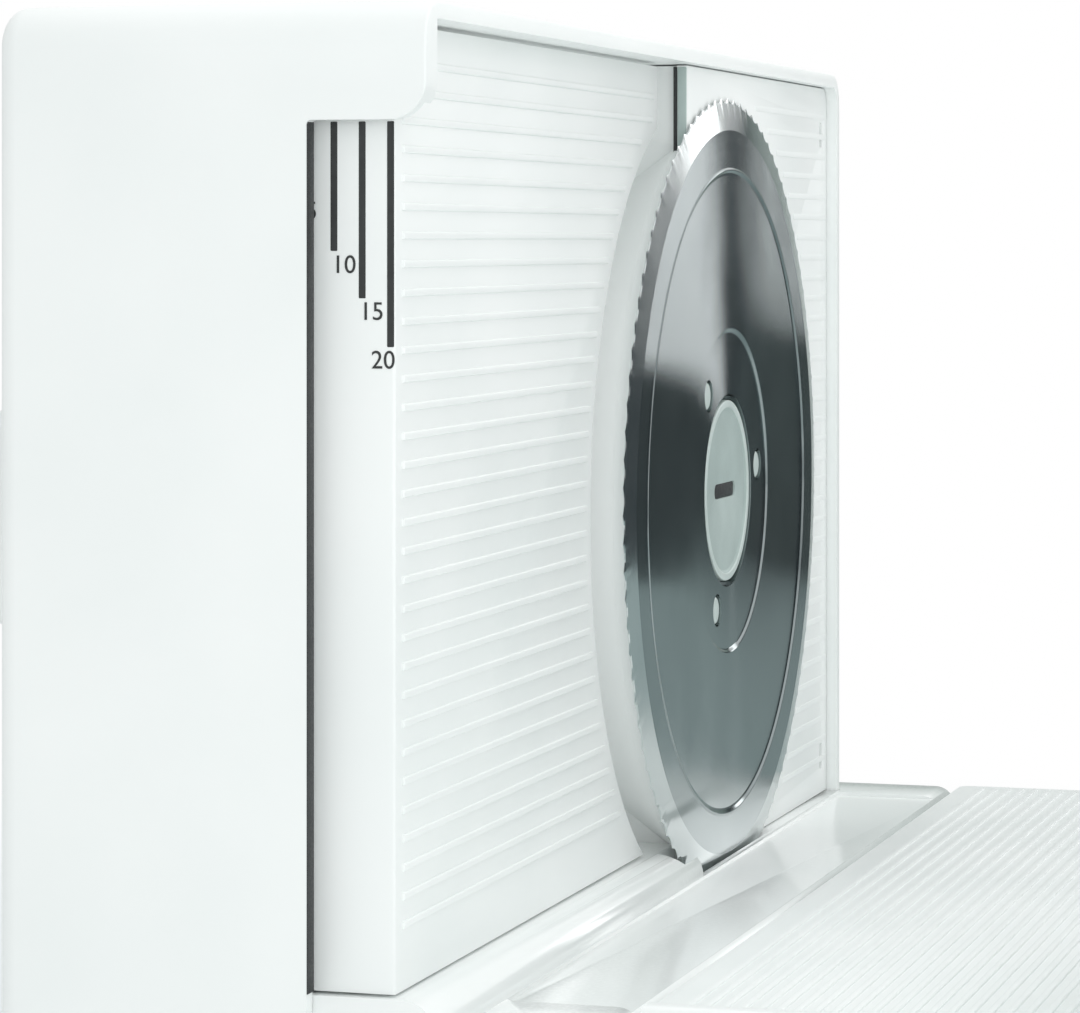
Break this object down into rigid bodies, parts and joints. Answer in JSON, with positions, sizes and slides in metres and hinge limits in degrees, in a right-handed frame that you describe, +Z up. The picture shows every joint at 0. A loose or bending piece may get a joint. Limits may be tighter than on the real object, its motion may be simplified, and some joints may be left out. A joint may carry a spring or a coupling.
{
  "type": "food slicer",
  "caption": "Electric food slicer: geared serrated disc blade, ribbed stop plate set by a knob, and a ribbed sliding carriage on an arch-shaped casing.",
  "frame": {"origin": "on the ground, below the middle of the slicer's whole extent in X and Y", "axes": "+Z up, +Y the way that the food is pushed past the blade, +X from the stop plate towards the food side along the blade's axle"},
  "size_m": [0.239, 0.331, 0.2147],
  "materials": {
    "white_plastic": "moulded ABS, fine satin",
    "grey_plastic": "moulded ABS, satin grey",
    "foot_rubber": "moulded rubber",
    "bright_steel": "turned and zinc plated steel",
    "blade_steel": "ground and polished stainless steel",
    "gear_plastic": "natural acetal",
    "bearing_bronze": "sintered bronze",
    "winding_copper": "varnished copper and laminations",
    "dark_plastic": "moulded nylon"
  },
  "bodies": {
    "casing": {"base_plate": "white_plastic", "bottom_cover": "grey_plastic", "foot_1": "foot_rubber", "foot_2": "foot_rubber", "foot_3": "foot_rubber", "foot_4": "foot_rubber", "housing_shell": "white_plastic", "motor_cover": "white_plastic", "rear_cover": "white_plastic", "rear_cover_screw_1": "bright_steel", "rear_cover_screw_2": "bright_steel", "rear_cover_screw_3": "bright_steel", "rear_cover_screw_4": "bright_steel", "blade_bowl": "white_plastic", "blade_axle": "bright_steel", "shaft_bush_front": "bearing_bronze", "shaft_bush_rear": "bearing_bronze", "motor_can": "bright_steel", "motor_cap": "dark_plastic", "motor_bracket": "bright_steel", "guide_rod_upper": "bright_steel", "guide_rod_lower": "bright_steel", "pillar_cover": "white_plastic", "pillar_cover_screw_1": "bright_steel", "pillar_cover_screw_2": "bright_steel", "carriage_rail": "bright_steel", "micro_switch": "dark_plastic", "terminal_block": "gear_plastic", "cable_gland": "dark_plastic"},
    "blade_group": {"blade": "blade_steel", "blade_screw": "grey_plastic", "drive_gear": "gear_plastic", "gear_bush": "bearing_bronze", "drive_pin_1": "gear_plastic", "drive_pin_2": "gear_plastic", "drive_pin_3": "gear_plastic"},
    "transfer_group": {"pinion": "bright_steel", "transfer_shaft": "bright_steel", "worm_wheel": "gear_plastic"},
    "rotor_group": {"motor_shaft": "bright_steel", "armature": "winding_copper", "worm": "bright_steel", "fan": "dark_plastic"},
    "fence_group": {"stop_plate": "white_plastic", "guide_block": "gear_plastic", "follower_pin": "bright_steel"},
    "knob_group": {"thickness_knob": "grey_plastic", "adjust_spindle": "bright_steel"},
    "carriage_group": {"carriage_plate": "white_plastic", "slide_shoe_1": "gear_plastic", "slide_shoe_2": "gear_plastic", "carriage_glide_1": "gear_plastic", "carriage_glide_2": "gear_plastic", "carriage_guard": "white_plastic"},
    "switch_group": {"switch_button": "grey_plastic"},
    "safety_group": {"safety_button": "grey_plastic"}
  },
  "joints": [
    {"name": "blade_spin", "type": "hinge", "parent": "casing", "child": "blade_group", "pos_m": [-0.0305, 0.0475, 0.1207], "axis": [1, 0, 0], "continuous": true},
    {"name": "transfer_spin", "type": "hinge", "parent": "casing", "child": "transfer_group", "pos_m": [-0.0805, 0.08669, 0.09807], "axis": [1, 0, 0], "continuous": true},
    {"name": "motor_spin", "type": "hinge", "parent": "casing", "child": "rotor_group", "pos_m": [-0.081, 0.11769, 0.1207], "axis": [0, 0, 1], "continuous": true},
    {"name": "knob_turn", "type": "hinge", "parent": "casing", "child": "knob_group", "pos_m": [-0.1105, -0.14, 0.1257], "axis": [1, 0, 0], "range_deg": [-75, 225]},
    {"name": "fence_slide", "type": "slide", "parent": "casing", "child": "fence_group", "axis": [1, 0, 0], "range_m": [-0.015, 0.005]},
    {"name": "carriage_slide", "type": "slide", "parent": "casing", "child": "carriage_group", "axis": [0, 1, 0], "range_m": [-0.12, 0.065]},
    {"name": "switch_press", "type": "slide", "parent": "casing", "child": "switch_group", "axis": [1, 0, 0], "range_m": [0, 0.003], "stiffness_N_per_m": 400, "springref_m": -0.002},
    {"name": "safety_press", "type": "slide", "parent": "casing", "child": "safety_group", "axis": [1, 0, 0], "range_m": [0, 0.0025], "stiffness_N_per_m": 400, "springref_m": -0.002}
  ],
  "couplings": [
    {"joint": "transfer_spin", "follows": "blade_spin", "ratio": -4},
    {"joint": "motor_spin", "follows": "blade_spin", "ratio": 32},
    {"joint": "knob_turn", "follows": "fence_slide", "rad_per_m": -261.79}
  ]
}
